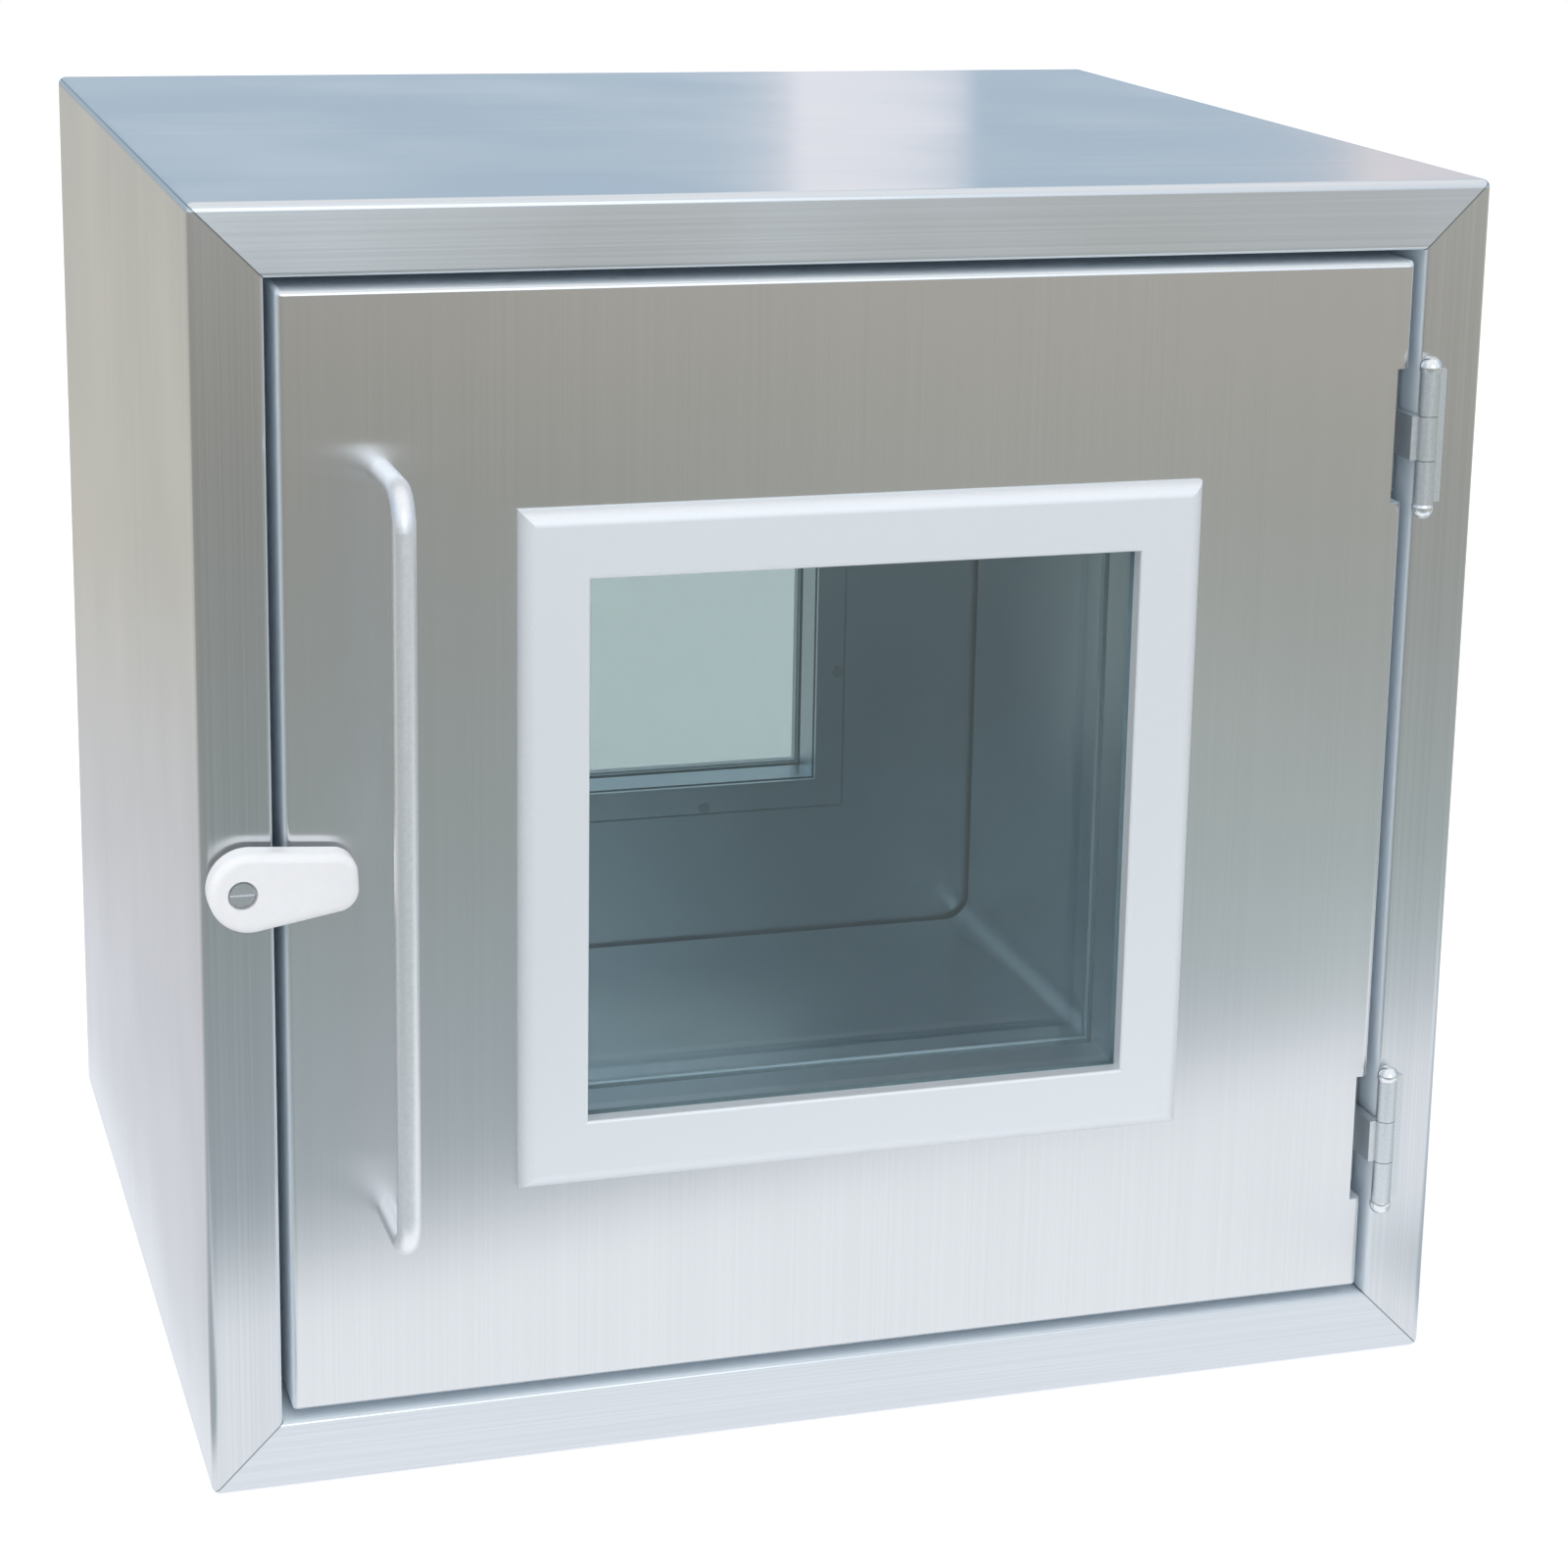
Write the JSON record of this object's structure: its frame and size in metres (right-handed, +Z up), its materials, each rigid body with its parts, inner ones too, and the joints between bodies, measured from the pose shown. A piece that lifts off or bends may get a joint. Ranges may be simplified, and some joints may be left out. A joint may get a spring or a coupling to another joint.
{
  "type": "cleanroom pass box",
  "caption": "Square stainless pass-through cabinet with a glazed, hinged door on the front and the rear, bar handles and turn latches.",
  "frame": {"origin": "centre of the base, under the middle of the cabinet", "axes": "+Z up, -Y out of the front door, +X to the right of someone facing the front door"},
  "size_m": [0.6, 0.6404, 0.585],
  "materials": {
    "casing_steel": "brushed stainless sheet, fine straight grain",
    "door_steel": "brushed stainless sheet, upright grain",
    "liner_steel": "smooth mill-finish stainless sheet",
    "hinge_steel": "satin stainless",
    "handle_steel": "satin-polished stainless rod",
    "polished_steel": "polished stainless",
    "screw_steel": "plain stainless",
    "bush_brass": "turned, oiled",
    "trim_aluminium": "silver-white satin anodised",
    "window_glass": "clear float glass",
    "gasket_rubber": "matt black",
    "seal_rubber": "matt grey silicone",
    "door_foam": "rigid foam infill",
    "lever_plastic": "glossy white nylon"
  },
  "bodies": {
    "cabinet": {"casing_top_panel": "casing_steel", "casing_bottom_panel": "casing_steel", "casing_left_panel": "casing_steel", "casing_right_panel": "casing_steel", "chamber_liner": "liner_steel", "front_landing_frame": "liner_steel", "rear_landing_frame": "liner_steel", "hinge_pins": "polished_steel", "latch_bushes": "bush_brass", "front_upper_hinge_frame_leaf": "hinge_steel", "front_lower_hinge_frame_leaf": "hinge_steel", "rear_upper_hinge_frame_leaf": "hinge_steel", "rear_lower_hinge_frame_leaf": "hinge_steel"},
    "front_door": {"front_door_outer_pan": "door_steel", "front_door_inner_pan": "liner_steel", "front_door_core": "door_foam", "front_door_seal": "seal_rubber", "front_window_outer_glass": "window_glass", "front_window_inner_glass": "window_glass", "front_window_tunnel": "liner_steel", "front_glazing_gaskets": "gasket_rubber", "front_window_trim_top": "trim_aluminium", "front_window_trim_bottom": "trim_aluminium", "front_window_trim_left": "trim_aluminium", "front_window_trim_right": "trim_aluminium", "front_window_bead": "liner_steel", "front_window_bead_screws": "screw_steel", "front_door_handle": "handle_steel", "front_handle_screws": "screw_steel", "front_upper_hinge_door_leaf": "hinge_steel", "front_lower_hinge_door_leaf": "hinge_steel", "front_hinge_screws": "screw_steel"},
    "front_latch": {"front_latch_lever": "lever_plastic", "front_latch_spindle": "screw_steel", "front_latch_nut": "screw_steel", "front_latch_screw": "screw_steel"},
    "rear_door": {"rear_door_outer_pan": "door_steel", "rear_door_inner_pan": "liner_steel", "rear_door_core": "door_foam", "rear_door_seal": "seal_rubber", "rear_window_outer_glass": "window_glass", "rear_window_inner_glass": "window_glass", "rear_window_tunnel": "liner_steel", "rear_glazing_gaskets": "gasket_rubber", "rear_window_trim_top": "trim_aluminium", "rear_window_trim_bottom": "trim_aluminium", "rear_window_trim_left": "trim_aluminium", "rear_window_trim_right": "trim_aluminium", "rear_window_bead": "liner_steel", "rear_window_bead_screws": "screw_steel", "rear_door_handle": "handle_steel", "rear_handle_screws": "screw_steel", "rear_upper_hinge_door_leaf": "hinge_steel", "rear_lower_hinge_door_leaf": "hinge_steel", "rear_hinge_screws": "screw_steel"},
    "rear_latch": {"rear_latch_lever": "lever_plastic", "rear_latch_spindle": "screw_steel", "rear_latch_nut": "screw_steel", "rear_latch_screw": "screw_steel"}
  },
  "joints": [
    {"name": "front_door_hinge", "type": "hinge", "parent": "cabinet", "child": "front_door", "pos_m": [0.271, -0.2705, 0.2925], "axis": [0, 0, 1], "range_deg": [0, 165]},
    {"name": "front_latch_turn", "type": "hinge", "parent": "cabinet", "child": "front_latch", "pos_m": [-0.2835, -0.265, 0.2885], "axis": [0, 1, 0], "range_deg": [0, 90]},
    {"name": "rear_door_hinge", "type": "hinge", "parent": "cabinet", "child": "rear_door", "pos_m": [-0.271, 0.2705, 0.2925], "axis": [0, 0, 1], "range_deg": [0, 165]},
    {"name": "rear_latch_turn", "type": "hinge", "parent": "cabinet", "child": "rear_latch", "pos_m": [0.2835, 0.265, 0.2885], "axis": [0, -1, 0], "range_deg": [0, 90]}
  ]
}
